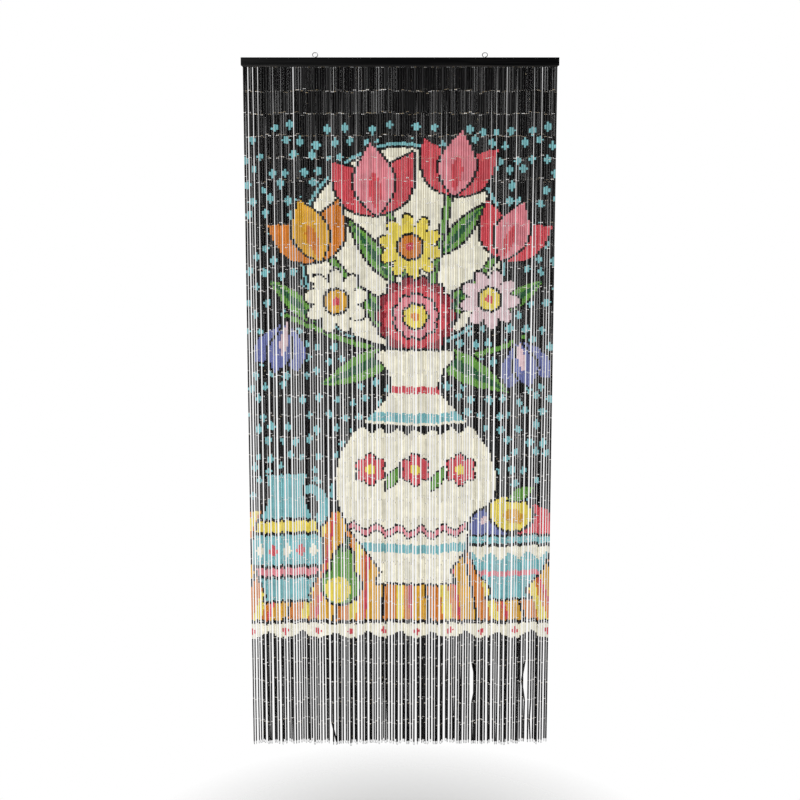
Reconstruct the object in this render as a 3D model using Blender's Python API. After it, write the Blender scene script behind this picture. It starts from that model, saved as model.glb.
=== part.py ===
"""Bead curtain with its top rail.

Strands of short bamboo tubes hang side by side under a black wooden rail, which two screw eyes carry.
Metres, +Z up. The curtain faces -Y. The origin is midway between the screw eyes, at the height where the
hooks that carry them touch the inside of each ring at its top.
"""

import math
import random

import bmesh
import bpy
from mathutils import Vector

# Top rail
RAIL_WIDTH = 0.900
RAIL_DEPTH = 0.012
RAIL_HEIGHT = 0.022
RAIL_ROUNDING = 0.0008

# Screw eyes, each a ring of wire on a shank that sits in a pilot hole
EYE_SPACING = 0.480
EYE_WIRE = 0.0020
EYE_RING_WIDTH = 0.0168
EYE_RING_HEIGHT = 0.0144
EYE_RING_TURN = math.radians(335)
EYE_RING_POINTS = 26
EYE_SHANK_DEPTH = 0.012
EYE_TWISTS = {"screw_eye_left": math.radians(6), "screw_eye_right": math.radians(-8)}

# Strands. A tube and the link under it are one step of the strand.
STRAND_COUNT = 125
STRAND_SPAN = 0.885
TUBES_PER_STRAND = 32
TUBE_STEP = 0.062
TOP_TUBE_DIAMETER = 0.0068
END_TUBE_DIAMETER = 0.0050
THINNEST_SHARE = 0.92
EDGE_STRANDS = 5
EDGE_SHARE = 0.80
SAME_AREA_SIDE = 0.886
JOINTS_BUILT = (0, 5, 11, 16, 21, 27, 32)

# How unevenly the strands hang
CHANCE_SEED = 41
ROOT_DRIFT = 0.0013
END_DRIFT = 0.0027
SWAY = 0.0007
DEPTH_DRIFT = 0.0008
HOOK_SLACK = 0.0014
LENGTH_SPREAD = 0.0016
WAVE_HEIGHT = 0.0016
WAVE_STRANDS = 31
TOUCH_GAP = 0.00015
SPACING_PASSES = 300

# Strands that stay clear of the next one, as (strand, gap, joint where the gap has closed)
OPEN_GAPS = (
    (1, 0.0020, 9),
    (3, 0.0024, 12),
    (5, 0.0019, 7),
    (19, 0.0027, 20),
    (104, 0.0015, 12),
    (118, 0.0018, 14),
)

# Joints that have caught on a neighbour, as (strand, joint, shift to +X, shift to -Y)
CAUGHT_JOINTS = (
    (33, 31, 0.0000, 0.0056),
    (33, 32, 0.0145, 0.0064),
    (92, 28, 0.0000, 0.0056),
    (92, 29, 0.0120, 0.0068),
    (92, 30, 0.0000, 0.0056),
    (115, 28, 0.0000, 0.0056),
    (115, 29, -0.0095, 0.0064),
    (115, 30, 0.0000, 0.0056),
    (117, 31, -0.0030, 0.0000),
)

# Strip that holds the roots of the strands, in place of the row of wire hooks
STRIP_WIDTH = 0.892
STRIP_DEPTH = 0.008
STRIP_HEIGHT = 0.003
HOOK_DROP = 0.008
HOOK_SIDE = 0.0022
SHOULDER = 0.0010

CLEARANCE = 0.0003

RING_RADIUS_X = (EYE_RING_WIDTH - EYE_WIRE) / 2
RING_RADIUS_Z = (EYE_RING_HEIGHT - EYE_WIRE) / 2
RING_CENTRE_Z = -(RING_RADIUS_Z - EYE_WIRE / 2)
RAIL_TOP = RING_CENTRE_Z - RING_RADIUS_Z - EYE_WIRE / 2 - CLEARANCE
RAIL_BOTTOM = RAIL_TOP - RAIL_HEIGHT
STRIP_TOP = RAIL_BOTTOM - CLEARANCE
STRIP_BOTTOM = STRIP_TOP - STRIP_HEIGHT
FIRST_TUBE_TOP = RAIL_BOTTOM - HOOK_DROP


def clear_scene():
    for obj in list(bpy.data.objects):
        bpy.data.objects.remove(obj, do_unlink=True)


def make_material(name, colour, roughness, metallic):
    material = bpy.data.materials.new(name)
    material.use_nodes = True
    shader = material.node_tree.nodes["Principled BSDF"]
    shader.inputs["Base Color"].default_value = (*colour, 1.0)
    shader.inputs["Roughness"].default_value = roughness
    shader.inputs["Metallic"].default_value = metallic
    return material


def add_object(name, data, material):
    obj = bpy.data.objects.new(name, data)
    bpy.context.scene.collection.objects.link(obj)
    data.materials.append(material)
    return obj


def box_mesh(name, width, depth, height):
    mesh = bpy.data.meshes.new(name)
    shape = bmesh.new()
    bmesh.ops.create_cube(shape, size=1.0)
    bmesh.ops.scale(shape, vec=(width, depth, height), verts=shape.verts)
    shape.to_mesh(mesh)
    shape.free()
    return mesh


def cylinder_mesh(name, radius, height):
    mesh = bpy.data.meshes.new(name)
    shape = bmesh.new()
    bmesh.ops.create_cone(
        shape, cap_ends=True, segments=20, radius1=radius, radius2=radius, depth=height
    )
    shape.to_mesh(mesh)
    shape.free()
    return mesh


def eye_positions():
    return {"screw_eye_left": -EYE_SPACING / 2, "screw_eye_right": EYE_SPACING / 2}


def build_rail():
    material = make_material("black satin paint", (0.012, 0.012, 0.013), 0.38, 0.0)
    rail = add_object("rail", box_mesh("rail", RAIL_WIDTH, RAIL_DEPTH, RAIL_HEIGHT), material)
    rail.location = (0, 0, (RAIL_TOP + RAIL_BOTTOM) / 2)
    rounding = rail.modifiers.new("rounded edges", "BEVEL")
    rounding.width = RAIL_ROUNDING
    rounding.segments = 2
    hole_depth = EYE_SHANK_DEPTH + CLEARANCE
    hole_radius = EYE_WIRE / 2 + CLEARANCE
    for name, x in eye_positions().items():
        cutter = add_object(
            name + "_pilot_hole",
            cylinder_mesh(name + "_pilot_hole", hole_radius, 2 * hole_depth),
            material,
        )
        cutter.location = (x, 0, RAIL_TOP)
        cutter.hide_render = True
        cutter.display_type = "WIRE"
        hole = rail.modifiers.new(cutter.name, "BOOLEAN")
        hole.object = cutter
    return rail


def ring_point(share):
    """A point of the ring's centre line. It starts at the ring's foot and runs round past +X."""
    angle = -math.pi / 2 + share * EYE_RING_TURN
    return Vector((RING_RADIUS_X * math.cos(angle), 0, RING_RADIUS_Z * math.sin(angle)))


def build_screw_eye(name, x, twist):
    """Bent from one wire: shank, a short bend, then the ring, which stops just short of the shank."""
    centre_above_rail = RING_CENTRE_Z - RAIL_TOP
    points = [Vector((0, 0, -EYE_SHANK_DEPTH))]
    for number in range(EYE_RING_POINTS + 1):
        points.append(ring_point(number / EYE_RING_POINTS) + Vector((0, 0, centre_above_rail)))
    wire = bpy.data.curves.new(name, "CURVE")
    wire.dimensions = "3D"
    wire.bevel_depth = EYE_WIRE / 2
    wire.bevel_resolution = 2
    wire.use_fill_caps = True
    line = wire.splines.new("POLY")
    line.points.add(len(points) - 1)
    for spline_point, point in zip(line.points, points):
        spline_point.co = (*point, 1.0)
    steel = make_material(name + " steel wire", (0.42, 0.42, 0.43), 0.32, 1.0)
    eye = add_object(name, wire, steel)
    eye.location = (x, 0, RAIL_TOP)
    eye.rotation_euler = (0, 0, twist)
    return eye


def tube_diameter(joint):
    """The pieces of one cane are threaded in order, so they get thinner down the strand."""
    return TOP_TUBE_DIAMETER + (END_TUBE_DIAMETER - TOP_TUBE_DIAMETER) * joint / TUBES_PER_STRAND


def gaps_at(joint):
    """The least gap between each strand and the next at a joint."""
    gaps = [TOUCH_GAP] * (STRAND_COUNT - 1)
    for strand, gap, closed_at in OPEN_GAPS:
        gaps[strand] = max(TOUCH_GAP, gap * (1 - joint / closed_at))
    return gaps


def push_apart(places, widths, gaps):
    """Moves neighbours that would overlap away from each other along X, and keeps the row's ends."""
    lowest = -STRAND_SPAN / 2
    for _ in range(SPACING_PASSES):
        places[0] = max(places[0], lowest)
        places[-1] = min(places[-1], -lowest)
        for left in range(len(places) - 1):
            least = (widths[left] + widths[left + 1]) / 2 + gaps[left]
            short = least - (places[left + 1] - places[left])
            if short > 0:
                places[left] -= short / 2
                places[left + 1] += short / 2


def hang_strands():
    """For each strand, its thickness share and the (x, y, z) of each joint from the hook to the free end."""
    draw = random.Random(CHANCE_SEED)
    strands = []
    for number in range(STRAND_COUNT):
        at_edge = number < EDGE_STRANDS
        strands.append(
            {
                "root": STRAND_SPAN * (number / (STRAND_COUNT - 1) - 0.5),
                "drift": draw.uniform(-1, 1),
                "phase": draw.uniform(0, 2 * math.pi),
                "depth": draw.uniform(-DEPTH_DRIFT, DEPTH_DRIFT),
                "drop": draw.uniform(-HOOK_SLACK, HOOK_SLACK)
                + WAVE_HEIGHT * math.sin(2 * math.pi * number / WAVE_STRANDS),
                "stretch": 1 + draw.uniform(-LENGTH_SPREAD, LENGTH_SPREAD),
                "thickness": draw.uniform(THINNEST_SHARE, 1.0) * (EDGE_SHARE if at_edge else 1.0),
                "joints": [],
            }
        )
    for joint in range(TUBES_PER_STRAND + 1):
        share = joint / TUBES_PER_STRAND
        places = []
        for strand in strands:
            drift = strand["drift"] * (ROOT_DRIFT + (END_DRIFT - ROOT_DRIFT) * share)
            sway = SWAY * share * math.sin(strand["phase"] + 3 * math.pi * share)
            places.append(strand["root"] + drift + sway)
        widths = [tube_diameter(joint) * strand["thickness"] for strand in strands]
        push_apart(places, widths, gaps_at(joint))
        for strand, x in zip(strands, places):
            z = FIRST_TUBE_TOP - strand["drop"] - joint * TUBE_STEP * strand["stretch"]
            strand["joints"].append((x, strand["depth"] * math.sin(math.pi * share), z))
    for number, joint, aside, forward in CAUGHT_JOINTS:
        x, y, z = strands[number]["joints"][joint]
        strands[number]["joints"][joint] = (x + aside, y - forward, z)
    return strands


def joints_to_build(number):
    """The joints where a strand's solid bends: evenly down its length, and round a caught joint."""
    wanted = set(JOINTS_BUILT)
    for strand, joint, _, _ in CAUGHT_JOINTS:
        if strand == number:
            wanted |= {joint - 1, joint, min(joint + 1, TUBES_PER_STRAND)}
    return sorted(wanted)


def strand_sections(number, strand):
    """Square cross-sections (x, y, z, side) from the strip down: hook, shoulder, then the tubes."""
    x, y, z = strand["joints"][0]
    sections = [(x, 0, STRIP_BOTTOM, HOOK_SIDE), (x, y, z, HOOK_SIDE)]
    for joint in joints_to_build(number):
        x, y, z = strand["joints"][joint]
        side = SAME_AREA_SIDE * tube_diameter(joint) * strand["thickness"]
        lowered = SHOULDER if joint == 0 else 0
        sections.append((x, y, z - lowered, side))
    return sections


def place_face(face, section):
    """Moves the four corners of a level face to a square section."""
    x, y, z, side = section
    centre = face.calc_center_median()
    for vert in face.verts:
        vert.co = (
            x + math.copysign(side / 2, vert.co.x - centre.x),
            y + math.copysign(side / 2, vert.co.y - centre.y),
            z,
        )


def strip_with_cells(shape, cuts):
    """The strip, with its underside divided across at each cut. Returns the faces of the underside."""
    bottom = [
        [shape.verts.new((x, side * STRIP_DEPTH / 2, STRIP_BOTTOM)) for x in cuts] for side in (-1, 1)
    ]
    top = [
        [shape.verts.new((x, side * STRIP_DEPTH / 2, STRIP_TOP)) for x in (cuts[0], cuts[-1])]
        for side in (-1, 1)
    ]
    front, back = bottom
    shape.faces.new((top[0][0], top[0][1], top[1][1], top[1][0]))
    shape.faces.new((*front, top[0][1], top[0][0]))
    shape.faces.new((*reversed(back), top[1][0], top[1][1]))
    shape.faces.new((back[0], front[0], top[0][0], top[1][0]))
    shape.faces.new((front[-1], back[-1], top[1][1], top[0][1]))
    return [
        shape.faces.new((back[cell], back[cell + 1], front[cell + 1], front[cell]))
        for cell in range(len(cuts) - 1)
    ]


def build_strands():
    """All strands and the strip that their roots are fused in, as one solid."""
    strands = hang_strands()
    roots = [strand["joints"][0][0] for strand in strands]
    cuts = [-STRIP_WIDTH / 2]
    cuts += [(left + right) / 2 for left, right in zip(roots, roots[1:])]
    cuts += [STRIP_WIDTH / 2]
    shape = bmesh.new()
    cells = strip_with_cells(shape, cuts)
    for number, (cell, strand) in enumerate(zip(cells, strands)):
        sections = strand_sections(number, strand)
        bmesh.ops.inset_individual(shape, faces=[cell], thickness=HOOK_SIDE / 2)
        place_face(cell, sections[0])
        end = cell
        for section in sections[1:]:
            end = bmesh.ops.extrude_discrete_faces(shape, faces=[end])["faces"][0]
            place_face(end, section)
    bmesh.ops.recalc_face_normals(shape, faces=shape.faces)
    mesh = bpy.data.meshes.new("strands")
    shape.to_mesh(mesh)
    shape.free()
    bamboo = make_material("painted bamboo", (0.16, 0.14, 0.12), 0.35, 0.0)
    return add_object("strands", mesh, bamboo)


def main():
    clear_scene()
    build_rail()
    for name, x in eye_positions().items():
        build_screw_eye(name, x, EYE_TWISTS[name])
    build_strands()


main()
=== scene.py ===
import math
import random

import bpy
import numpy as np
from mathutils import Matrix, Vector


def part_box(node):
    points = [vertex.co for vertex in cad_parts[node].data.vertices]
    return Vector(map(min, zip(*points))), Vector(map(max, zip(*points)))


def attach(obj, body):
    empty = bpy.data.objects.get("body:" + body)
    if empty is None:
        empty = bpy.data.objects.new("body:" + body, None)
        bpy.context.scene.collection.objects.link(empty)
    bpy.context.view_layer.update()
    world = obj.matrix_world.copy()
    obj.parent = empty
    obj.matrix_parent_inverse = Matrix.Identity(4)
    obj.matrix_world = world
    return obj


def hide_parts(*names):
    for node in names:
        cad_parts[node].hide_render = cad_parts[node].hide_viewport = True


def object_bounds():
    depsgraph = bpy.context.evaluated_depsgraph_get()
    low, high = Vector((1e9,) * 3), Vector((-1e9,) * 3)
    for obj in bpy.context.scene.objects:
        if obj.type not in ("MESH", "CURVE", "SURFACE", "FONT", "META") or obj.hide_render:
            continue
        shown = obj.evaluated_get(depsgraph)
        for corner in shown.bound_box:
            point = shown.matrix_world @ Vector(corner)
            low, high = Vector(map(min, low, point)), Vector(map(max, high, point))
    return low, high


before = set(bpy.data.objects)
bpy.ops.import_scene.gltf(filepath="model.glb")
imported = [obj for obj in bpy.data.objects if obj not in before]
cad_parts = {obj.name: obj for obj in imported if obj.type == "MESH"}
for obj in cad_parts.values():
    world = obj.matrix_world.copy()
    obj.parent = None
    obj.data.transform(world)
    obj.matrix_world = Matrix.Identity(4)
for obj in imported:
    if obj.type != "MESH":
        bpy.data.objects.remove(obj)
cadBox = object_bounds()
railLow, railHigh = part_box("rail")
print("frame loaded:", ", ".join(sorted(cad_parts)))

# How the strands hang. These are the curtain's own sizes, so the tubes follow the solid strands.
hanging = {
    "strands": 125,
    "span": 0.885,  # from the middle of the first strand to that of the last
    "tubes": 32,  # on each strand
    "step": 0.062,  # one tube and the link under it
    "tubeWidths": (0.0068, 0.005),  # at the top and at the foot
    "thinnest": 0.92,  # share of the full width
    "edgeStrands": 5,  # slimmer strands at the left edge
    "edgeShare": 0.8,
    "seed": 41,
    "drifts": (0.0013, 0.0027),  # how far a strand may stray to the side, at the top and at the foot
    "sway": 0.0007,
    "swayBends": 3,
    "depthDrift": 0.0008,
    "hookSlack": 0.0014,
    "lengthSpread": 0.0016,  # share of the step
    "waveHeight": 0.0016,  # the rows of joints rise and fall by this, over so many strands
    "waveStrands": 31,
    "touchGap": 0.00015,
    "spacingPasses": 300,
    "hookDrop": 0.008,  # from the rail to the first tube
    # strand, gap to the next one, joint where the gap has closed
    "openGaps": ((1, 0.002, 9), (3, 0.0024, 12), (5, 0.0019, 7), (19, 0.0027, 20),
                 (104, 0.0015, 12), (118, 0.0018, 14)),
    # strand, joint, shift to the right, shift to the front, where a tube has caught on its neighbour
    "caughtJoints": ((33, 31, 0.0, 0.0056), (33, 32, 0.0145, 0.0064), (92, 28, 0.0, 0.0056),
                     (92, 29, 0.012, 0.0068), (92, 30, 0.0, 0.0056), (115, 28, 0.0, 0.0056),
                     (115, 29, -0.0095, 0.0064), (115, 30, 0.0, 0.0056), (117, 31, -0.003, 0.0)),
}


def blend(first, last, share):
    return first + (last - first) * share


def tubeDiameter(joint):
    return blend(*hanging["tubeWidths"], joint / hanging["tubes"])


def leastGaps(joint):
    gaps = [hanging["touchGap"]] * (hanging["strands"] - 1)
    for strand, gap, closedAt in hanging["openGaps"]:
        gaps[strand] = max(hanging["touchGap"], gap * (1 - joint / closedAt))
    return gaps


def pushApart(places, widths, gaps):
    edge = hanging["span"] / 2
    for _ in range(hanging["spacingPasses"]):
        places[0] = max(places[0], -edge)
        places[-1] = min(places[-1], edge)
        for left in range(len(places) - 1):
            least = (widths[left] + widths[left + 1]) / 2 + gaps[left]
            short = least - (places[left + 1] - places[left])
            if short > 0:
                places[left] -= short / 2
                places[left + 1] += short / 2


def hangStrands():
    # The draws come in the same order as for the solid strands
    draw = random.Random(hanging["seed"])
    strands = []
    for number in range(hanging["strands"]):
        strand = {
            "root": hanging["span"] * (number / (hanging["strands"] - 1) - 0.5),
            "drift": draw.uniform(-1, 1),
            "phase": draw.uniform(0, 2 * math.pi),
            "depth": draw.uniform(-hanging["depthDrift"], hanging["depthDrift"]),
            "drop": draw.uniform(-hanging["hookSlack"], hanging["hookSlack"]),
            "stretch": 1 + draw.uniform(-hanging["lengthSpread"], hanging["lengthSpread"]),
            "thickness": draw.uniform(hanging["thinnest"], 1.0),
            "joints": [],
        }
        strand["drop"] += hanging["waveHeight"] * math.sin(2 * math.pi * number / hanging["waveStrands"])
        if number < hanging["edgeStrands"]:
            strand["thickness"] *= hanging["edgeShare"]
        strands.append(strand)
    firstTop = railLow.z - hanging["hookDrop"]
    for joint in range(hanging["tubes"] + 1):
        share = joint / hanging["tubes"]
        places = []
        for strand in strands:
            drift = blend(*hanging["drifts"], share)
            bend = hanging["swayBends"] * math.pi * share
            sway = hanging["sway"] * share * math.sin(strand["phase"] + bend)
            places.append(strand["root"] + strand["drift"] * drift + sway)
        widths = [tubeDiameter(joint) * strand["thickness"] for strand in strands]
        pushApart(places, widths, leastGaps(joint))
        for strand, x in zip(strands, places):
            y = strand["depth"] * math.sin(math.pi * share)
            z = firstTop - strand["drop"] - joint * hanging["step"] * strand["stretch"]
            strand["joints"].append(Vector((x, y, z)))
    for number, joint, aside, forward in hanging["caughtJoints"]:
        strands[number]["joints"][joint] += Vector((aside, -forward, 0))
    return strands


strands = hangStrands()
tubeCount = hanging["tubes"]
print("strands hung:", len(strands))

# The picture that is painted on the tubes: a vase of flowers before a moon, on a striped cloth.
# Places are in metres, across from the curtain's middle and down from the top of the tubes.
picture = {
    "top": 0.14,  # plain black above this and below low
    "low": 1.72,
    "row": 0.002,  # height of one row of the picture
    "outline": 0.0075,  # black line round a shape
    "petalPower": 0.7,  # the lower, the broader the petals
    "handWobble": 0.0018,  # how far one strand's paint is out of line
    "wobbleSeed": 7,
}
paints = {
    "black": (10, 9, 10), "cream": (246, 241, 220), "turquoise": (128, 192, 197),
    "red": (216, 80, 90), "crimson": (152, 38, 52), "pink": (230, 140, 150),
    "palePink": (232, 204, 208), "orange": (216, 130, 44), "amber": (226, 172, 52),
    "yellow": (240, 220, 92), "green": (104, 160, 66), "darkGreen": (40, 96, 58),
    "lavender": (112, 120, 176),
}
paintNames = list(paints)
rowCount = round(tubeCount * hanging["step"] / picture["row"])
wobbleDraw = random.Random(picture["wobbleSeed"])
wobble = np.array([wobbleDraw.uniform(-1, 1) for _ in strands]) * picture["handWobble"]
rowMiddles = (np.arange(rowCount) + 0.5) * picture["row"]
across, down = np.meshgrid([strand["root"] for strand in strands], rowMiddles, indexing="ij")
down = down + wobble[:, None]
painted = np.zeros(across.shape, int)


def brush(where, paint):
    painted[where] = paintNames.index(paint)


def lay(depth, paint, outline=picture["outline"]):
    # depth is how far inside a shape each place lies, in metres
    if outline:
        brush(depth > -outline, "black")
    brush(depth > 0, paint)


def oval(middle, halfWidth, halfHeight, angle=0.0):
    x, y = across - middle[0], down - middle[1]
    alongX = x * math.cos(angle) + y * math.sin(angle)
    alongY = y * math.cos(angle) - x * math.sin(angle)
    reach = np.sqrt((alongX / halfWidth) ** 2 + (alongY / halfHeight) ** 2)
    return (1 - reach) * min(halfWidth, halfHeight)


def disc(middle, radius):
    return oval(middle, radius, radius)


def lozenge(middle, halfWidth, halfHeight):
    x, y = np.abs(across - middle[0]), np.abs(down - middle[1])
    return (1 - x / halfWidth - y / halfHeight) * halfWidth


def between(top, low):
    return np.minimum(down - top, low - down)


def blade(foot, tip, width, fullest):
    # a leaf or petal, widest at the share fullest of its length
    dx, dy = tip[0] - foot[0], tip[1] - foot[1]
    x, y = across - foot[0], down - foot[1]
    along = np.clip((x * dx + y * dy) / (dx * dx + dy * dy), 0, 1)
    off = np.hypot(x - along * dx, y - along * dy)
    return width / 2 * np.sin(math.pi * along ** (math.log(0.5) / math.log(fullest))) - off


def stroke(points, width):
    nearest = np.full(across.shape, np.inf)
    for (x0, y0), (x1, y1) in zip(points, points[1:]):
        dx, dy = x1 - x0, y1 - y0
        along = np.clip(((across - x0) * dx + (down - y0) * dy) / (dx * dx + dy * dy), 0, 1)
        nearest = np.minimum(nearest, np.hypot(across - x0 - along * dx, down - y0 - along * dy))
    return width / 2 - nearest


def arch(start, middle, end, pieces=14):
    shares = [k / pieces for k in range(pieces + 1)]
    return [tuple((1 - t) ** 2 * a + 2 * t * (1 - t) * b + t * t * c
                  for a, b, c in zip(start, middle, end)) for t in shares]


def blossom(middle, radius, count, turn, notch):
    # count petals, with the share notch of the radius between them cut away
    x, y = across - middle[0], down - middle[1]
    lobe = np.abs(np.cos(count * (np.arctan2(y, x) - turn) / 2)) ** picture["petalPower"]
    return radius * (1 - notch + notch * lobe) - np.hypot(x, y)


def layTurned(vessel, paint, bands):
    # a vase, jug or bowl from the (down, half width) rows of its shape
    heights, halfWidths = zip(*vessel["shape"])
    side = np.interp(down, heights, halfWidths) - np.abs(across - vessel["middle"])
    body = np.minimum(side, between(heights[0], heights[-1]))
    lay(body, paint)
    for top, low, bandPaint in bands:
        brush((body > 0) & (between(top, low) > 0), bandPaint)


def teeth(middle, pitch, height):
    return height * np.abs(np.mod((across - middle) / pitch + 0.5, 1.0) * 2 - 1)


def layOvals(rows):
    for *shape, paint, outline in rows:
        lay(oval(*shape), paint, outline)


diamonds = {"seed": 23, "rows": 27, "columns": 20, "start": (-0.438, 0.165), "pitch": (0.045, 0.041),
            "jitter": 0.011, "sizes": (0.0105, 0.0145), "tall": 1.1, "leftOut": 0.16}


def paintDiamonds():
    draw = random.Random(diamonds["seed"])
    pitchX, pitchY = diamonds["pitch"]
    for row in range(diamonds["rows"]):
        for column in range(diamonds["columns"]):
            x = diamonds["start"][0] + pitchX * (column + 0.5 * (row % 2))
            y = diamonds["start"][1] + pitchY * row
            x += draw.uniform(-1, 1) * diamonds["jitter"]
            y += draw.uniform(-1, 1) * diamonds["jitter"]
            size = draw.uniform(*diamonds["sizes"])
            if draw.random() > diamonds["leftOut"]:
                lay(lozenge((x, y), size, size * diamonds["tall"]), "turquoise", 0)


moon = {"middle": (0.01, 0.505), "radius": 0.284, "rim": 0.016}


def paintMoon():
    lay(disc(moon["middle"], moon["radius"] + moon["rim"]), "turquoise")
    lay(disc(moon["middle"], moon["radius"]), "cream")


bouquet = {
    "mouth": (0.045, 0.82),
    "stemWidth": 0.014,
    "stemOutline": 0.006,
    # where a stem bends, and its flower
    "stems": (((0.03, 0.6), (-0.045, 0.36)), ((0.1, 0.6), (0.15, 0.3)),
              ((-0.06, 0.7), (-0.225, 0.5)), ((0.12, 0.72), (0.3, 0.5)),
              ((-0.1, 0.8), (-0.33, 0.7)), ((0.2, 0.84), (0.36, 0.76))),
    # foot, tip, width
    "leaves": (((0.0, 0.8), (-0.235, 0.9), 0.075), ((0.09, 0.8), (0.32, 0.92), 0.08),
               ((0.02, 0.78), (-0.13, 0.61), 0.062), ((0.07, 0.78), (0.205, 0.6), 0.062),
               ((-0.02, 0.6), (-0.15, 0.42), 0.048), ((0.12, 0.52), (0.24, 0.38), 0.048),
               ((-0.24, 0.72), (-0.38, 0.59), 0.05), ((0.29, 0.68), (0.415, 0.6), 0.05)),
    # middle, size, tilt
    "bellflowers": (((-0.345, 0.785), 0.155, 0.25), ((0.362, 0.835), 0.15, -0.25)),
    # middle, size, tilt, outer petals, inner petal
    "tulips": (((-0.075, 0.31), 0.205, -0.1, "red", "pink"), ((0.165, 0.265), 0.185, 0.14, "red", "pink"),
               ((-0.26, 0.455), 0.185, -0.34, "orange", "amber"),
               ((0.325, 0.455), 0.175, 0.38, "red", "pink")),
    # middle, radius, petals, turn, petal paint, eye paint
    "daisies": (((0.03, 0.5), 0.092, 10, 0.2, "yellow", "orange"),
                ((-0.185, 0.655), 0.092, 9, 0.5, "cream", "amber"),
                ((0.26, 0.65), 0.086, 9, 0.1, "palePink", "yellow")),
    "roundFlower": ((0.045, 0.7), 0.115),
    # where a leaf is widest, and its dark middle, as shares of its length and width
    "leafFullest": 0.42,
    "leafMiddle": 0.36,
    # lean and width of the petals, then length, width and widest place of the mark on them
    "tulipPetals": ((-0.62, 0.5), (0.62, 0.5), (0.0, 0.56)),
    "tulipFullest": 0.46,
    "tulipMark": (0.62, 0.18, 0.6),
    "bellLeans": (-0.42, 0.42, 0.0),
    "bellWidth": 0.44,
    "bellFullest": 0.62,
    "bellMark": (0.2, 0.16, 0.6),
    "daisyNotch": 0.42,
    "daisyEye": 0.36,
    "daisyDot": 0.13,
    # share of the radius, petals, turn, paint, outline
    "roundRings": ((1.0, 14, 0.0, "crimson", 0.0075), (0.82, 12, 0.3, "red", 0),
                   (0.56, 9, 0.6, "pink", 0.0075), (0.3, 7, 0.9, "yellow", 0.0075)),
    "roundNotch": 0.16,
    "roundDot": 0.1,
}


def paintLeaf(foot, tip, width):
    lay(blade(foot, tip, width, bouquet["leafFullest"]), "green")
    lay(blade(foot, tip, width * bouquet["leafMiddle"], bouquet["leafFullest"]), "darkGreen", 0)


def paintTulip(middle, size, tilt, outer, inner):
    upX, upY = math.sin(tilt), -math.cos(tilt)
    foot = (middle[0] - size * 0.5 * upX, middle[1] - size * 0.5 * upY)
    for (lean, width), paint in zip(bouquet["tulipPetals"], (outer, outer, inner)):
        tip = (foot[0] + size * math.sin(tilt + lean), foot[1] - size * math.cos(tilt + lean))
        lay(blade(foot, tip, size * width, bouquet["tulipFullest"]), paint)
    length, width, fullest = bouquet["tulipMark"]
    markTip = (foot[0] + size * length * upX, foot[1] + size * length * upY)
    lay(blade(foot, markTip, size * width, fullest), outer, 0)


def paintBellflower(middle, size, tilt):
    foot = (middle[0] + size * 0.5 * math.sin(tilt), middle[1] - size * 0.5 * math.cos(tilt))
    for lean in bouquet["bellLeans"]:
        tip = (foot[0] - size * math.sin(tilt + lean), foot[1] + size * math.cos(tilt + lean))
        lay(blade(foot, tip, size * bouquet["bellWidth"], bouquet["bellFullest"]), "lavender")
    length, width, fullest = bouquet["bellMark"]
    lay(blade(foot, (middle[0], middle[1] + size * length), size * width, fullest), "palePink", 0)


def paintDaisy(middle, radius, count, turn, petal, eye):
    lay(blossom(middle, radius, count, turn, bouquet["daisyNotch"]), petal)
    lay(disc(middle, radius * bouquet["daisyEye"]), eye)
    lay(disc(middle, radius * bouquet["daisyDot"]), "red", 0)


def paintRoundFlower(middle, radius):
    for share, count, turn, paint, outline in bouquet["roundRings"]:
        lay(blossom(middle, radius * share, count, turn, bouquet["roundNotch"]), paint, outline)
    lay(disc(middle, radius * bouquet["roundDot"]), "orange", 0)


def paintBouquet():
    for bendPoint, flower in bouquet["stems"]:
        stem = stroke(arch(bouquet["mouth"], bendPoint, flower), bouquet["stemWidth"])
        lay(stem, "green", bouquet["stemOutline"])
    for kind, paintOne in (("leaves", paintLeaf), ("bellflowers", paintBellflower),
                           ("tulips", paintTulip), ("daisies", paintDaisy)):
        for values in bouquet[kind]:
            paintOne(*values)
    paintRoundFlower(*bouquet["roundFlower"])


cloth = {
    "top": 1.275,
    "low": 1.64,
    "lace": 0.03,
    "laceLine": (0.034, 0.026),
    "scallop": 0.098,
    "scallopDrop": 0.022,
    "middle": -0.03,  # where the stripes fan out from
    "fold": 0.19,
    "foldAtTop": 0.55,
    "spread": 0.62,
    # start and end within a fold, paint
    "stripes": ((0.0, 0.3, "amber"), (0.3, 0.36, "black"), (0.62, 0.8, "yellow"), (0.92, 1.0, "red")),
    "gems": 10,
    "gemSize": 0.012,
    "gemDrop": 0.001,
}


def paintCloth():
    scallops = cloth["scallopDrop"] * np.abs(np.sin(math.pi * across / cloth["scallop"]))
    lay(np.minimum(down - cloth["top"], cloth["low"] + scallops - down), "cream")
    weave = between(cloth["top"], cloth["low"] - cloth["lace"])
    lay(weave, "orange")
    fan = (across - cloth["middle"]) / (cloth["foldAtTop"] + cloth["spread"] * (down - cloth["top"]))
    stripe = np.mod(fan / cloth["fold"] + 0.5, 1.0)
    for start, stop, paint in cloth["stripes"]:
        brush((weave > 0) & (stripe > start) & (stripe < stop), paint)
    lineTop, lineLow = (cloth["low"] - above for above in cloth["laceLine"])
    brush(between(lineTop, lineLow) > 0, "black")
    for k in range(cloth["gems"]):
        middle = (cloth["scallop"] * (k - (cloth["gems"] - 1) / 2), cloth["low"] + cloth["gemDrop"])
        lay(lozenge(middle, cloth["gemSize"], cloth["gemSize"]), "red", 0)


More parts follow.
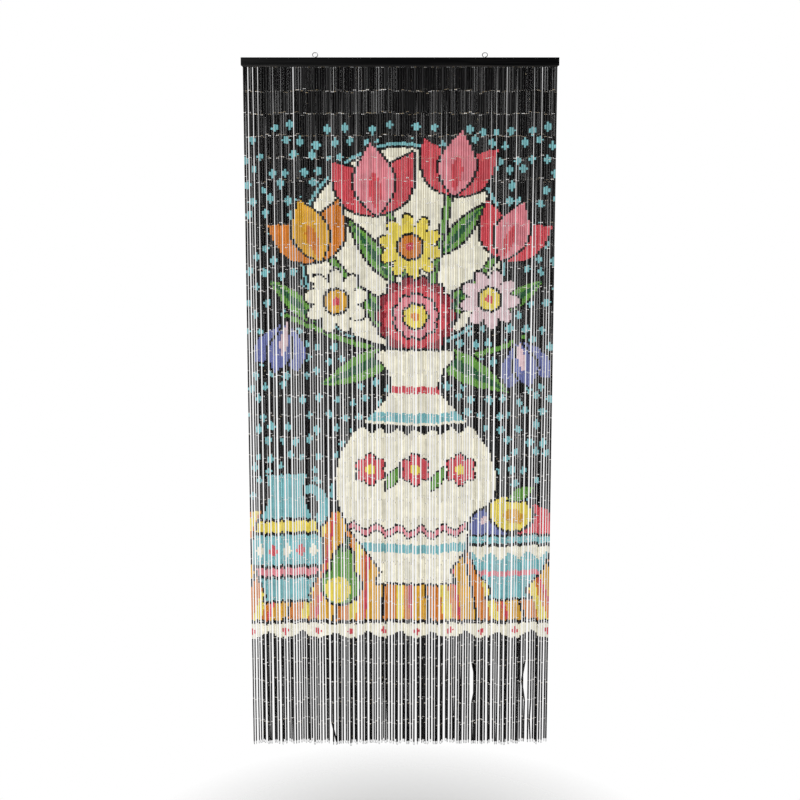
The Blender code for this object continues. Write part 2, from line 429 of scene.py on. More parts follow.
vase = {
    "middle": 0.045,
    # down, half width
    "shape": ((0.8, 0.1), (0.812, 0.112), (0.826, 0.11), (0.85, 0.084), (0.89, 0.068),
              (0.925, 0.07), (0.965, 0.104), (1.025, 0.17), (1.095, 0.218), (1.17, 0.238),
              (1.245, 0.23), (1.32, 0.198), (1.39, 0.15), (1.44, 0.112), (1.462, 0.1),
              (1.48, 0.112), (1.494, 0.112)),
    "sag": 0.35,  # bends the bands down in the middle
    "wave": (0.01, 0.066),  # height, length
    "teeth": (0.052, 0.02),  # pitch, height
    # top edge, lower edge, paint, and whether the band waves, sags and has teeth below
    "bands": ((0.905, 0.925, "red", 0, 0, 0), (0.985, 1.012, "turquoise", 0, 1, 0),
              (1.02, 1.03, "black", 0, 1, 1), (1.325, 1.352, "black", 1, 1, 0),
              (1.331, 1.346, "pink", 1, 1, 0), (1.378, 1.404, "turquoise", 0, 1, 0)),
    # a row of flowers with leaves between them
    "garland": 1.165,
    "garlandPitch": 0.066,
    "garlandSway": 0.014,
    "flower": (0.046, 6, 0.5, 0.34),  # radius, petals, turn, notch
    "flowerEye": 0.015,
    "flowerOutline": 0.005,
    "leaf": ((-0.02, 0.034), (0.02, -0.036), 0.03, 0.5),  # foot, tip, width, where it is widest
    "leafOutline": 0.004,
}


def paintVase():
    waveHeight, waveLength = vase["wave"]
    sag = vase["sag"] * (across - vase["middle"]) ** 2
    wave = waveHeight * np.sin(2 * math.pi * (across - vase["middle"]) / waveLength)
    zigzag = teeth(vase["middle"], *vase["teeth"])
    bands = [(top - waves * wave - sags * sag, low - waves * wave - sags * sag + toothed * zigzag, paint)
             for top, low, paint, waves, sags, toothed in vase["bands"]]
    layTurned(vase, "cream", bands)
    for k in range(-2, 3):
        x = vase["middle"] + vase["garlandPitch"] * k
        y = vase["garland"] - vase["garlandSway"] * math.cos(k * math.pi)
        if k % 2 == 0:
            lay(blossom((x, y), *vase["flower"]), "red", vase["flowerOutline"])
            lay(disc((x, y), vase["flowerEye"]), "yellow", 0)
        else:
            (footX, footY), (tipX, tipY), width, fullest = vase["leaf"]
            leaf = blade((x + footX, y + footY), (x + tipX, y + tipY), width, fullest)
            lay(leaf, "green", vase["leafOutline"])


jug = {
    "middle": -0.335,
    "shape": ((1.165, 0.058), (1.18, 0.056), (1.215, 0.044), (1.255, 0.056), (1.31, 0.086),
              (1.37, 0.104), (1.43, 0.102), (1.49, 0.08), (1.528, 0.062), (1.546, 0.07)),
    "bands": ((1.296, 1.306, "black"), (1.306, 1.338, "yellow"), (1.338, 1.348, "black"),
              (1.438, 1.448, "black"), (1.448, 1.47, "pink"), (1.47, 1.48, "black")),
    # the handle and its hole: aside, down, half width, half height, paint, outline
    "handle": ((0.07, 1.262, 0.056, 0.066, "turquoise", 0.0075),
               (0.066, 1.262, 0.03, 0.04, "black", 0)),
    "gemPitch": 0.04,
    "gemsDown": 1.395,
    "gemSize": (0.015, 0.022),
}


def paintJug():
    for aside, low, *size, paint, outline in jug["handle"]:
        lay(oval((jug["middle"] + aside, low), *size), paint, outline)
    layTurned(jug, "turquoise", jug["bands"])
    for k in range(-2, 3):
        gem = lozenge((jug["middle"] + jug["gemPitch"] * k, jug["gemsDown"]), *jug["gemSize"])
        lay(gem, "red" if k % 2 else "cream", 0)


pear = {
    # middle, half width, half height, angle, paint, outline
    "ovals": (((-0.176, 1.5), 0.056, 0.056, 0.0, "green", 0.0075),
              ((-0.17, 1.435), 0.032, 0.052, 0.1, "green", 0.0075),
              ((-0.176, 1.5), 0.056, 0.056, 0.0, "green", 0),
              ((-0.186, 1.512), 0.038, 0.04, 0.0, "yellow", 0)),
    "stalk": ((-0.168, 1.388), (-0.154, 1.36)),
    "stalkWidth": 0.012,
    "stalkOutline": 0.004,
}


def paintPear():
    layOvals(pear["ovals"])
    lay(stroke(pear["stalk"], pear["stalkWidth"]), "darkGreen", pear["stalkOutline"])


bowl = {
    "middle": 0.325,
    "shape": ((1.352, 0.122), (1.37, 0.124), (1.41, 0.116), (1.462, 0.092), (1.502, 0.056),
              (1.52, 0.048), (1.54, 0.062)),
    # fruit: middle, half width, half height, angle, paint, outline
    "fruit": (((0.262, 1.322), 0.056, 0.054, 0.0, "lavender", 0.0075),
              ((0.25, 1.304), 0.014, 0.012, 0.0, "palePink", 0),
              ((0.398, 1.32), 0.06, 0.06, 0.0, "red", 0.0075),
              ((0.382, 1.3), 0.015, 0.014, 0.0, "pink", 0),
              ((0.328, 1.282), 0.064, 0.05, 0.35, "yellow", 0.0075),
              ((0.338, 1.292), 0.034, 0.02, 0.35, "amber", 0)),
    "leaf": ((0.318, 1.242), (0.395, 1.208), 0.038, 0.5),  # foot, tip, width, where it is widest
    "leafOutline": 0.005,
    "teeth": (0.056, 0.026),  # pitch, height
    # top edge, lower edge, paint, and whether the band has teeth below
    "bands": ((1.372, 1.382, "black", 0), (1.456, 1.472, "pink", 0), (1.382, 1.398, "cream", 1)),
}


def paintBowl():
    layOvals(bowl["fruit"])
    lay(blade(*bowl["leaf"]), "green", bowl["leafOutline"])
    zigzag = teeth(bowl["middle"], *bowl["teeth"])
    bands = [(top, low + toothed * zigzag, paint) for top, low, paint, toothed in bowl["bands"]]
    layTurned(bowl, "turquoise", bands)


paintDiamonds()
paintMoon()
paintBouquet()
paintCloth()
paintVase()
paintJug()
paintPear()
paintBowl()
brush(between(picture["top"], picture["low"]) < 0, "black")
print("picture painted in", len(paints), "colours")


# Materials. Each is worked out in the object's own space, in metres.
def toLinear(colour):
    shares = [value / 255 for value in colour]
    return [s / 12.92 if s <= 0.04045 else ((s + 0.055) / 1.055) ** 2.4 for s in shares] + [1.0]


def newMaterial(name):
    material = bpy.data.materials.new(name)
    material.use_nodes = True
    tree = material.node_tree
    return material, tree, tree.nodes["Principled BSDF"]


def feed(tree, node, inputs):
    # another node's output is linked, anything else is set
    for name, value in inputs.items():
        if isinstance(value, bpy.types.NodeSocket):
            tree.links.new(value, node.inputs[name])
        else:
            node.inputs[name].default_value = value
    return node


def addNode(tree, kind, inputs, **settings):
    node = tree.nodes.new("ShaderNode" + kind)
    for name, value in settings.items():
        setattr(node, name, value)
    return feed(tree, node, inputs)


def noise(tree, scale, detail, stretch=(1, 1, 1)):
    place = addNode(tree, "TexCoord", {}).outputs["Object"]
    stretched = addNode(tree, "Mapping", {"Vector": place, "Scale": stretch}).outputs["Vector"]
    cloud = addNode(tree, "TexNoise", {"Vector": stretched, "Scale": scale, "Detail": detail})
    return cloud.outputs["Fac"]


def spread(tree, value, low, high, fromLow=0.3, fromHigh=0.7):
    return addNode(tree, "MapRange", {"Value": value, "From Min": fromLow, "From Max": fromHigh,
                                      "To Min": low, "To Max": high}).outputs["Result"]


def blendColours(tree, share, first, second):
    return addNode(tree, "Mix", {"Factor": share, 6: first, 7: second}, data_type="RGBA").outputs[2]


def addBump(tree, shader, height, strength, distance):
    bump = addNode(tree, "Bump", {"Height": height, "Strength": strength, "Distance": distance})
    feed(tree, shader, {"Normal": bump.outputs["Normal"]})


bamboo = {
    "bare": (216, 200, 164),
    "endGrain": (172, 144, 104),
    # scale, detail and stretch of each noise; the fibres run down the tube
    "fibres": (900, 3, (1, 1, 0.03)),
    "clouds": (45, 2),
    "specks": (260, 4, (1, 1, 0.35)),
    "pores": (1600, 3),
    "shade": 0.8,  # how dark the thin patches of paint go
    "mostSpeck": 0.75,
    "speckRange": (0.72, 0.78),
    "smooth": 0.13,  # roughness of the most and the least polished tubes
    "rough": 0.33,
    "shine": 0.29,
    "filmAndSheen": (112, 112, 112),  # grey mixed into the least polished tubes' paint: partly a dull film, partly painted sheen for brighter highlights
    "mostFilmAndSheen": 0.15,
    "filmAndSheenUntil": 0.35,
    "bump": (0.05, 0.0001),  # strength, depth
    "endRough": 0.7,
    "endBump": (0.4, 0.0001),
}


def lacqueredBamboo(name, colour):
    material, tree, shader = newMaterial(name)
    base = toLinear(colour)
    darker = [value * bamboo["shade"] for value in base[:3]] + [1.0]
    clouds = spread(tree, noise(tree, *bamboo["clouds"]), 0, 1)
    coloured = blendColours(tree, clouds, base, darker)
    # each tube took the paint a little lighter or darker, and shines more or less
    tone, polish = (addNode(tree, "Attribute", {}, attribute_name=name).outputs["Fac"]
                    for name in ("tone", "polish"))
    toned = addNode(tree, "HueSaturation", {"Value": tone, "Color": coloured})
    # painted sheen: the least polished tubes get grey mixed into their paint, partly a dull film and
    # partly standing in for the brighter highlights some tubes show
    filmAndSheen = spread(tree, polish, bamboo["mostFilmAndSheen"], 0, 0, bamboo["filmAndSheenUntil"])
    filmedAndSheened = blendColours(tree, filmAndSheen, toned.outputs["Color"], toLinear(bamboo["filmAndSheen"]))
    specks = spread(tree, noise(tree, *bamboo["specks"]), 0, bamboo["mostSpeck"],
                    *bamboo["speckRange"])
    worn = blendColours(tree, specks, filmedAndSheened, toLinear(bamboo["bare"]))
    roughness = spread(tree, polish, bamboo["rough"], bamboo["smooth"], 0, 1)
    feed(tree, shader, {"Base Color": worn, "Roughness": roughness,
                        "Specular IOR Level": bamboo["shine"]})
    addBump(tree, shader, noise(tree, *bamboo["fibres"]), *bamboo["bump"])
    return material


def bareBamboo():
    material, tree, shader = newMaterial("bare bamboo")
    pores = spread(tree, noise(tree, *bamboo["pores"]), 0, 1)
    cane = blendColours(tree, pores, toLinear(bamboo["bare"]), toLinear(bamboo["endGrain"]))
    feed(tree, shader, {"Base Color": cane, "Roughness": bamboo["endRough"]})
    addBump(tree, shader, pores, *bamboo["endBump"])
    return material


wireLook = {"dark": (96, 97, 100), "bright": (176, 177, 180), "smooth": 0.22, "rough": 0.46,
            "clouds": (420, 3), "grain": (2400, 2), "bump": (0.2, 0.00005)}


def steelWire(name):
    material, tree, shader = newMaterial(name)
    clouds = noise(tree, *wireLook["clouds"])
    zinc = blendColours(tree, spread(tree, clouds, 0, 1), toLinear(wireLook["dark"]),
                        toLinear(wireLook["bright"]))
    roughness = spread(tree, clouds, wireLook["smooth"], wireLook["rough"])
    feed(tree, shader, {"Base Color": zinc, "Roughness": roughness, "Metallic": 1.0})
    addBump(tree, shader, noise(tree, *wireLook["grain"]), *wireLook["bump"])
    return material


railLook = {"paint": (7, 7, 8), "worn": (20, 19, 19), "strip": (34, 33, 33), "stripWorn": (66, 63, 60),
            "grain": (260, 5, (0.03, 1, 1)), "wornRange": (0.48, 0.8), "smooth": 0.22, "rough": 0.34,
            "shine": 0.13, "bump": (0.35, 0.0004)}


def paintedRail(name, paint, wornPaint):
    material, tree, shader = newMaterial(name)
    grain = noise(tree, *railLook["grain"])
    worn = spread(tree, grain, 0, 1, *railLook["wornRange"])
    covered = blendColours(tree, worn, toLinear(paint), toLinear(wornPaint))
    roughness = spread(tree, grain, railLook["smooth"], railLook["rough"])
    feed(tree, shader, {"Base Color": covered, "Roughness": roughness,
                        "Specular IOR Level": railLook["shine"]})
    addBump(tree, shader, grain, *railLook["bump"])
    return material


def dress(node, material):
    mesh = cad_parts[node].data
    mesh.materials.clear()
    mesh.materials.append(material)


dress("rail", paintedRail("black satin paint on wood", railLook["paint"], railLook["worn"]))
for side in ("left", "right"):
    dress("screw_eye_" + side, steelWire("steel of the " + side + " screw eye"))
tubePaints = [lacqueredBamboo("bamboo painted " + name, colour) for name, colour in paints.items()]
tubePaints.append(bareBamboo())
linkSteel = steelWire("galvanised link wire")
print("materials made")

# The strip that the hooks are set in. It meets the rail, so no light shows between them.
stripSize = {"width": 0.892, "depth": 0.008, "height": 0.0033}
stripLow = railLow.z - stripSize["height"]


def newMesh(name, points, faces):
    mesh = bpy.data.meshes.new(name)
    mesh.from_pydata(points, [], faces)
    return mesh


def addObject(name, data):
    thing = bpy.data.objects.new(name, data)
    bpy.context.scene.collection.objects.link(thing)
    return thing


def addPiece(mesh):
    piece = addObject(mesh.name, mesh)
    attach(piece, "root")
    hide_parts("strands")


# Bamboo tubes: hollow, with broken edges at both ends, cut into bands where the paint changes
tubes = {
    "sides": 8,
    "underStrip": 0.0003,  # from the strip to the first tubes
    "underStripMore": 0.0009,  # at most this much more
    "fewLow": 3,  # the higher, the fewer of them hang low
    "closedJoint": (0.0001, 0.0006),  # between two tubes of a strand
    "openJoint": (0.0011, 0.0027),
    "openShare": (0.2, 0.97),  # of the joints, at the top and at the foot
    "gapShare": (0.72, 1),  # of the joints' width, likewise
    "openFilled": 0.45,  # how far tubes grow into a gap between strands that stays open
    "edge": 0.00045,  # how much is broken off the ends of a tube
    "bareEdges": 0.25,  # share of the cut ends that took no paint
    "boreShare": 0.5,  # of the radius
    "fuller": 0.0011,  # at most, how far a tube at the top grows into the room beside it
    "fullerUntil": 13,  # the joint where that has come down to nothing
    "nearlyTouching": 0.0004,  # tubes with less room than this beside them fill it, at any height
    "pressed": 0.0001,  # tubes that touch are pressed together by this much
    "slimmest": 0.985,
    "flattest": 0.1,
    "uneven": 0.0017,  # how much longer or shorter one tube is than the next
    "mostUneven": 0.011,
    "oddShare": 0.22,  # of the joints, those that lie further out of line
    "odd": 0.005,
    "unevenEnds": 0.0016,
    "mostUnevenEnds": 0.0032,
    "lowShare": 0.05,  # of the strands, those that end lower than the others
    "lower": (0.0045, 0.0085),
    "shortestBand": 0.0022,  # of paint, so that the broken edges stay clear
    "brushSlant": 0.0007,
    "tones": (0.8, 1.06),
    "seed": 5,
    "strandsPerPiece": 14,
}
tubeDraw = random.Random(tubes["seed"])
bareSlot = len(tubePaints) - 1
caughtStrands = {row[0] for row in hanging["caughtJoints"]}


def fillRoom():
    # A tube is as wide as its solid strand. Near the rail it also grows to either side, where its
    # neighbour leaves room, but only part of the way into the gaps that stay open. Further down,
    # only tubes that nearly touch grow until they meet.
    openAfter = {row[0] for row in hanging["openGaps"]}
    joints = range(tubeCount + 1)
    for strand in strands:
        strand["radii"] = [tubeDiameter(joint) * strand["thickness"] / 2 for joint in joints]
    for joint in joints:
        most = max(0, tubes["fuller"] * (1 - joint / tubes["fullerUntil"]))
        room = []
        for left, right in zip(strands, strands[1:]):
            apart = right["joints"][joint].x - left["joints"][joint].x
            spare = (apart - left["radii"][joint] - right["radii"][joint]) / 2 + tubes["pressed"]
            if 0 < spare < tubes["nearlyTouching"]:
                room.append(spare)
            else:
                room.append(max(0, min(spare, most)))
        for number in openAfter:
            room[number] *= tubes["openFilled"]
        for number, strand in enumerate(strands):
            toLeft = room[number - 1] if number else 0
            toRight = room[number] if number < len(room) else 0
            strand["radii"][joint] += (toLeft + toRight) / 2
            strand["joints"][joint].x += (toRight - toLeft) / 2


def pointAt(strand, place):
    # a point of the strand, with its place counted in joints
    above = min(int(place), tubeCount - 1)
    return strand["joints"][above].lerp(strand["joints"][above + 1], place - above)


def held(value, most):
    return max(-most, min(most, value))


def jointPlaces(number):
    # where the joints of a strand really are: bamboo is cut by hand, so the tubes differ in length
    # and each strand's joints wander from their even places on the way down
    places, wander = [0.0], 0.0
    for joint in range(1, tubeCount):
        wander += tubeDraw.gauss(0, tubes["uneven"])
        shift = wander
        if tubeDraw.random() < tubes["oddShare"]:
            shift += tubeDraw.uniform(-1, 1) * tubes["odd"]
        shift = held(shift, tubes["mostUneven"])
        places.append(joint + (0 if number in caughtStrands else shift / hanging["step"]))
    low = held(tubeDraw.gauss(0, tubes["unevenEnds"]), tubes["mostUnevenEnds"])
    if tubeDraw.random() < tubes["lowShare"]:
        low += tubeDraw.uniform(*tubes["lower"])
    places.append(tubeCount + (0 if number in caughtStrands else low / hanging["step"]))
    return places


fillRoom()
for number, strand in enumerate(strands):
    strand["places"] = jointPlaces(number)
    strand["gaps"] = []
    for place in strand["places"]:
        share = place / tubeCount
        isOpen = tubeDraw.random() < blend(*tubes["openShare"], share)
        gap = tubeDraw.uniform(*tubes["openJoint" if isOpen else "closedJoint"])
        strand["gaps"].append(gap * blend(*tubes["gapShare"], share))
    drop = tubes["underStrip"] + tubes["underStripMore"] * tubeDraw.random() ** tubes["fewLow"]
    rise = stripLow - drop - strand["joints"][0].z
    strand["gaps"][0] -= 2 * rise


def paintChanges(number, top, low):
    # (down, paint) where each band of paint starts, with the ends kept clear for the broken edges
    first, last = int(max(top, 0) / picture["row"]), int(low / picture["row"])
    column = painted[number, first:last]
    bands = [(top, int(column[0]))]
    shortest = tubes["shortestBand"]
    for row in np.flatnonzero(np.diff(column)) + 1:
        place = (first + row) * picture["row"]
        if place - bands[-1][0] > shortest and low - place > shortest:
            bands.append((place, int(column[row])))
        elif low - place > shortest:
            bands[-1] = (bands[-1][0], int(column[row]))
    return bands


def tubeMesh(strand, number, tube):
    # rings of points from one end to the other, then the faces between neighbouring rings
    upper, lower = (pointAt(strand, place) for place in strand["places"][tube:tube + 2])
    axis = (lower - upper).normalized()
    ahead = Vector((0, 1, 0)).cross(axis).normalized()
    aside = axis.cross(ahead)
    gaps = [gap / 2 for gap in strand["gaps"][tube:tube + 2]]
    length = (lower - upper).length - sum(gaps)
    slim = tubeDraw.uniform(tubes["slimmest"], 1.0)
    ends = [strand["radii"][joint] * slim for joint in (tube, tube + 1)]
    bore = ends[1] * tubes["boreShare"]
    edge = tubes["edge"]
    top = strand["places"][tube] * hanging["step"] + gaps[0]
    bands = paintChanges(number, top, top + length)

    rings = [(0, bore, 0), (0, ends[0] - edge, 0), (edge, ends[0], 0)]
    edgePaints = [bareSlot if tubeDraw.random() < tubes["bareEdges"] else bands[end][1]
                  for end in (0, -1)]
    faces = [(0, 1, bareSlot), (1, 2, edgePaints[0])]
    for (_, paint), (place, _) in zip(bands, bands[1:]):
        along = place - top
        faces.append((len(rings) - 1, len(rings), paint))
        rings.append((along, ends[0] + (ends[1] - ends[0]) * along / length,
                      tubeDraw.uniform(-1, 1) * tubes["brushSlant"]))
    paint = bands[-1][1]
    last = len(rings)
    rings += [(length - edge, ends[1], 0), (length, ends[1] - edge, 0), (length, bore, 0)]
    faces += [(last - 1, last, paint), (last, last + 1, edgePaints[1]), (last + 1, last + 2, bareSlot),
              (last + 2, 0, bareSlot)]

    # no tube is quite round, and each is flatter some way
    turn = tubeDraw.uniform(0, math.pi)
    angles = np.arange(tubes["sides"]) * 2 * math.pi / tubes["sides"]
    flat = 1 - tubeDraw.uniform(0, tubes["flattest"]) * np.cos(angles - turn) ** 2
    circle = np.outer(np.cos(angles) * flat, ahead) + np.outer(np.sin(angles) * flat, aside)
    start = np.array(upper + axis * gaps[0])
    slope = np.cos(angles)[:, None]
    points = [start + np.array(axis) * (along + slant * slope) + circle * radius
              for along, radius, slant in rings]
    return np.concatenate(points), rings, faces


def facesBetween(first, second):
    # two rings of points, as one four-sided face for each side
    side = np.arange(tubes["sides"])
    following = (side + 1) % tubes["sides"]
    return np.stack([first + side, first + following, second + following, second + side], axis=1)


# Where the faces lie in the bake map, as shares of a tube's cell or of a wire face's cell
bakeMap = {
    "outside": (0.02, 0.84),
    "bore": (0.88, 0.97),
    "cutEnds": ((0.01, 0.04), (0.96, 0.99)),
    "brokenEdges": ((0.05, 0.09), (0.91, 0.95)),
    "top": 0.1,
    "height": 0.8,
    "wireRadius": 0.55,
}


def tubePiece(name, numbers):
    # The bake map has two columns of cells for each strand, with a tube in each cell: the outside on
    # its left, the bore on its right, and the broken edges and cut ends in thin rows above and below
    points, quads, slots, smooth, tones, polishes, places = ([] for _ in range(7))
    sides = tubes["sides"]
    rowsPerColumn = tubeCount // 2
    width, height = 1 / (2 * len(numbers)), 1 / rowsPerColumn
    steps = np.arange(sides) / sides
    count = 0
    for place, number in enumerate(numbers):
        for tube in range(tubeCount):
            tubePoints, rings, faces = tubeMesh(strands[number], number, tube)
            length = rings[-1][0]
            cellLeft = (2 * place + tube // rowsPerColumn) * width
            cellTop = 1 - (tube % rowsPerColumn) * height
            for first, second, slot in faces:
                quads.append(count + facesBetween(first * sides, second * sides))
                slots += [slot] * sides
                isBore = second == 0
                isEnd = rings[first][0] == rings[second][0]
                isFlat = not isBore and rings[second][0] - rings[first][0] < 2 * tubes["edge"]
                smooth += [not isFlat] * sides
                left, right = bakeMap["bore" if isBore else "outside"]
                cellU = cellLeft + (left + (right - left) * steps) * width
                stepU = (right - left) * width / sides
                top, low = (bakeMap["top"] + bakeMap["height"] * rings[ring][0] / length
                            for ring in (first, second))
                if isEnd:
                    top, low = bakeMap["cutEnds"][first > 0]
                elif isFlat:
                    top, low = bakeMap["brokenEdges"][first > 1]
                high, under = (np.full(sides, cellTop - share * height) for share in (top, low))
                places.append(np.stack([cellU, high, cellU + stepU, high, cellU + stepU, under,
                                        cellU, under], axis=1))
            points.append(tubePoints)
            tones += [tubeDraw.uniform(*tubes["tones"])] * len(tubePoints)
            polishes += [tubeDraw.random()] * len(tubePoints)
            count += len(tubePoints)
    mesh = newMesh(name, np.concatenate(points).tolist(), np.concatenate(quads).tolist())
    for paint in tubePaints:
        mesh.materials.append(paint)
    mesh.polygons.foreach_set("material_index", slots)
    mesh.polygons.foreach_set("use_smooth", smooth)
    # the edges round a tube stay sharp, or its ends look bent
    edgeEnds = np.empty(2 * len(mesh.edges), int)
    mesh.edges.foreach_get("vertices", edgeEnds)
    ringOf = edgeEnds.reshape(-1, 2) // sides
    mesh.edges.foreach_set("use_edge_sharp", ringOf[:, 0] == ringOf[:, 1])
    for attribute, values in (("tone", tones), ("polish", polishes)):
        mesh.attributes.new(attribute, "FLOAT", "POINT").data.foreach_set("value", values)
    mesh.uv_layers.new(name="OFBake").uv.foreach_set("vector", np.concatenate(places).ravel())
    addPiece(mesh)


groups = [range(start, min(start + tubes["strandsPerPiece"], len(strands)))
          for start in range(0, len(strands), tubes["strandsPerPiece"])]
for group, numbers in enumerate(groups):
    tubePiece(f"bamboo_tubes_{group + 1}", numbers)
print("tubes made:", len(groups), "pieces")

# Wire: one small bent shape for each kind of fitting, copied to every joint
wires = {
    "link": {"width": 0.0017, "height": 0.0036, "points": 4, "thick": 0.0006, "sides": 3},
    "hanger": {"width": 0.0024, "height": 0.0056, "points": 6, "thick": 0.0006, "sides": 4},
    "endLoop": {"width": 0.0046, "height": 0.01, "points": 6, "thick": 0.0012, "sides": 4},
    "hook": {"radius": 0.0011, "stem": 0.0005, "sunk": 0.0015, "turn": 315, "points": 14,
             "thick": 0.0011, "sides": 5},
    "linkOverlap": 0.0009,  # how far each eye of a link reaches past the middle of the joint
    "hangerHeld": 1.3,  # how far down the hook its top lies, in radii
    "endLoopSunk": 0.0015,  # into the last tube
    "seed": 17,
}


def bentWire(route, thick, sides, closed):
    # route lies in the plane of X and Z
    route = np.array([(x, 0, z) for x, z in route])
    if closed:
        tangent = np.roll(route, -1, axis=0) - np.roll(route, 1, axis=0)
    else:
        tangent = np.gradient(route, axis=0)
    tangent /= np.linalg.norm(tangent, axis=1)[:, None]
    outward = np.cross(tangent, (0, 1, 0))
    turn = np.arange(sides) * 2 * math.pi / sides
    points = route[:, None] + thick / 2 * (
        np.cos(turn)[:, None] * outward[:, None] + np.sin(turn)[:, None] * (0, 1, 0))
    rows = len(route) if closed else len(route) - 1
    faces = []
    for row in range(rows):
        first, second = row * sides, (row + 1) % len(route) * sides
        for side in range(sides):
            following = (side + 1) % sides
            faces.append((first + side, second + side, second + following, first + following))
    if not closed:
        faces.append(tuple(range(sides)))
        faces.append(tuple((len(route) - 1) * sides + side for side in reversed(range(sides))))
    return points.reshape(-1, 3), faces


def longRing(size):
    # two half circles with straight sides between them, from its top downwards
    radius, straight = size["width"] / 2, size["height"] - size["width"]
    route = []
    for start, lower in ((0, 0), (math.pi, straight)):
        for k in range(size["points"]):
            angle = start + math.pi * k / (size["points"] - 1)
            route.append((radius * math.cos(angle), -radius - lower + radius * math.sin(angle)))
    return bentWire(route, size["thick"], size["sides"], True)


def wireHook(size):
    radius, stem = size["radius"], size["stem"]
    route = [(0, size["sunk"]), (0, -stem / 2), (0, -stem)]
    for k in range(size["points"]):
        angle = math.pi / 2 - math.radians(size["turn"]) * (k + 1) / size["points"]
        route.append((radius * math.cos(angle), -stem - radius + radius * math.sin(angle)))
    return bentWire(route, size["thick"], size["sides"], False)


def copyWire(shape, centres, turns):
    # a copy at each centre, turned about the upright
    points, faces = shape
    cosines, sines = np.cos(turns)[:, None], np.sin(turns)[:, None]
    x = points[:, 0] * cosines - points[:, 1] * sines
    y = points[:, 0] * sines + points[:, 1] * cosines
    z = np.broadcast_to(points[:, 2], x.shape)
    placed = np.stack([x, y, z], axis=2) + centres[:, None]
    allFaces = [[corner + number * len(points) for corner in face]
                for number in range(len(turns)) for face in faces]
    return placed.reshape(-1, 3), allFaces


def wirePiece(name, parts):
    # in the bake map each face has a square of its own
    points, faces, count = [], [], 0
    for partPoints, partFaces in parts:
        points.append(partPoints)
        faces += [[corner + count for corner in face] for face in partFaces]
        count += len(partPoints)
    mesh = newMesh(name, np.concatenate(points).tolist(), faces)
    mesh.materials.append(linkSteel)
    mesh.shade_smooth()
    perRow = math.ceil(math.sqrt(len(faces)))
    places = []
    for number, face in enumerate(faces):
        for corner in range(len(face)):
            angle = 2 * math.pi * (corner + 0.5) / len(face)
            places += [(number % perRow + 0.5 + bakeMap["wireRadius"] * math.cos(angle)) / perRow,
                       (number // perRow + 0.5 + bakeMap["wireRadius"] * math.sin(angle)) / perRow]
    mesh.uv_layers.new(name="OFBake").uv.foreach_set("vector", places)
    addPiece(mesh)


wireDraw = np.random.default_rng(wires["seed"])
eye = longRing(wires["link"])
upperPlace = (0, 0, wires["link"]["height"] - wires["linkOverlap"])
lowerPlace = (0, 0, wires["linkOverlap"])
for third in range(3):
    numbers = range(third * len(strands) // 3, (third + 1) * len(strands) // 3)
    joints = np.array([pointAt(strands[number], place) for number in numbers
                       for place in strands[number]["places"][1:-1]])
    turns = wireDraw.uniform(0, math.pi, len(joints))
    wirePiece(f"wire_links_{third + 1}", [copyWire(eye, joints + upperPlace, turns),
                                          copyWire(eye, joints + lowerPlace, turns + math.pi / 2)])

tops = np.array([strand["joints"][0] for strand in strands])
turns = wireDraw.uniform(0, math.pi, len(strands))
hookPlaces = np.column_stack([tops[:, 0], np.zeros(len(tops)), np.full(len(tops), stripLow)])
hangerDrop = wires["hook"]["stem"] + wires["hook"]["radius"] * wires["hangerHeld"]
hangerPlaces = hookPlaces - (0, 0, hangerDrop)
wirePiece("hooks_under_rail", [copyWire(wireHook(wires["hook"]), hookPlaces, turns),
                               copyWire(longRing(wires["hanger"]), hangerPlaces, turns + math.pi / 2)])
ends = np.array([pointAt(strand, strand["places"][-1]) for strand in strands])
endPlaces = ends + (0, 0, wires["endLoopSunk"])
turns = wireDraw.uniform(0, math.pi, len(strands))
wirePiece("end_loops", [copyWire(longRing(wires["endLoop"]), endPlaces, turns)])


def addHookStrip():
    halfWidth, halfDepth = stripSize["width"] / 2, stripSize["depth"] / 2
    corners = [(x, y, z) for x in (-halfWidth, halfWidth) for y in (-halfDepth, halfDepth)
               for z in (stripLow, railLow.z)]
    faces = [(0, 1, 3, 2), (4, 6, 7, 5), (0, 4, 5, 1), (2, 3, 7, 6), (0, 2, 6, 4), (1, 5, 7, 3)]
    mesh = newMesh("hook_strip", corners, faces)
    mesh.materials.append(paintedRail("dull black strip", railLook["strip"], railLook["stripWorn"]))
    addPiece(mesh)


addHookStrip()
print("wire fittings made")

# A pale floor that fades into the white surroundings, soft light, and the photograph's view
stage = {
    "floorBelow": 0.42,  # under the lowest tube
    "floorRadius": 14,
    "rimPoints": 96,
    "floor": (240, 240, 239),
    "floorRough": 0.9,
    "fade": (0.2, 0.95),
    "light": 0.48,  # from all round
    "mirrored": 0.05,  # how bright the surroundings are where something shiny reflects them
}


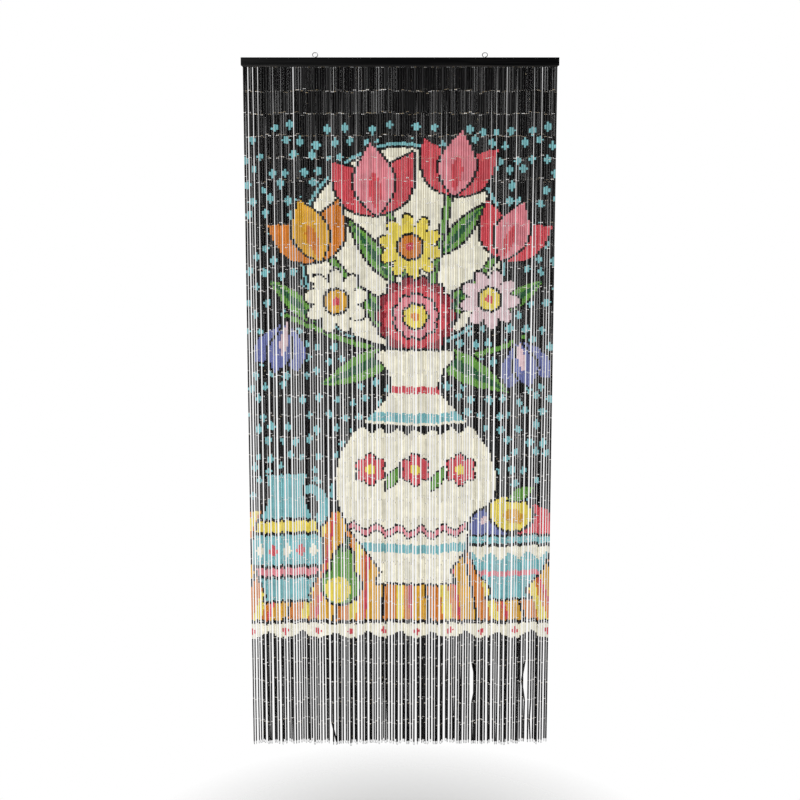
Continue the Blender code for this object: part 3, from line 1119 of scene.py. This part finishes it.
def addFloor():
    angles = [2 * math.pi * k / stage["rimPoints"] for k in range(stage["rimPoints"])]
    rim = [(stage["floorRadius"] * math.cos(a), stage["floorRadius"] * math.sin(a), 0) for a in angles]
    mesh = newMesh("pale_floor", rim, [list(range(len(rim)))])
    material, tree, shader = newMaterial("pale floor")
    feed(tree, shader, {"Base Color": toLinear(stage["floor"]), "Roughness": stage["floorRough"]})
    place = addNode(tree, "TexCoord", {}).outputs["Object"]
    distance = addNode(tree, "VectorMath", {0: place}, operation="LENGTH")
    fade = spread(tree, distance.outputs["Value"], 0, 1, *stage["fade"])
    clear = addNode(tree, "BsdfTransparent", {})
    mix = addNode(tree, "MixShader", {"Fac": fade, 1: shader.outputs["BSDF"], 2: clear.outputs["BSDF"]})
    feed(tree, tree.nodes["Material Output"], {"Surface": mix.outputs["Shader"]})
    mesh.materials.append(material)
    floor = addObject("pale_floor", mesh)
    floor.location.z = cadBox[0].z - stage["floorBelow"]


def addWorld():
    # white where the camera sees it, softer as light, and dim in reflections
    world = bpy.data.worlds.new("white surroundings")
    bpy.context.scene.world = world
    world.use_nodes = True
    tree = world.node_tree
    rays = addNode(tree, "LightPath", {}).outputs
    dimmed = addNode(tree, "Math", {0: rays["Is Glossy Ray"], 1: stage["mirrored"] - stage["light"],
                                    2: stage["light"]}, operation="MULTIPLY_ADD").outputs["Value"]
    bright = addNode(tree, "Math", {0: rays["Is Camera Ray"], 1: dimmed}, operation="MAXIMUM")
    feed(tree, tree.nodes["Background"], {"Color": (1, 1, 1, 1), "Strength": bright.outputs["Value"]})


softBoxes = {
    # place, what it faces, width, height, watts
    "left_soft_box": ((-1.5, -3.2, -1.5), (0, 0, -1.5), 0.5, 4.0, 100),
    "right_soft_box": ((2.6, -2.4, -0.5), (0, 0, -1.0), 0.5, 2.4, 6),
    "rear_soft_box": ((-1.6, 3.4, 0.0), (0, 0, -1.0), 0.8, 2.4, 3),
}


def addSoftBox(name, place, target, width, height, watts):
    light = bpy.data.lights.new(name, "AREA")
    light.shape = "RECTANGLE"
    light.size = width
    light.size_y = height
    light.energy = watts
    lamp = addObject(name, light)
    lamp.location = place
    lamp.rotation_euler = (Vector(target) - Vector(place)).to_track_quat("-Z", "Y").to_euler()


photoView = {"lens": 50, "sensor": 36, "distance": 3.232, "belowRailTop": 0.5993, "pitchDown": 6.62}


def addCamera():
    lens = bpy.data.cameras.new("photo view")
    lens.lens = photoView["lens"]
    lens.sensor_width = photoView["sensor"]
    camera = addObject("photo view", lens)
    camera.location = (0, -photoView["distance"], railHigh.z - photoView["belowRailTop"])
    camera.rotation_euler = (math.radians(90 - photoView["pitchDown"]), 0, 0)
    bpy.context.scene.camera = camera


addFloor()
addWorld()
for name, values in softBoxes.items():
    addSoftBox(name, *values)
addCamera()
bpy.context.scene.view_settings.view_transform = "Standard"
print("stage, light and camera set")
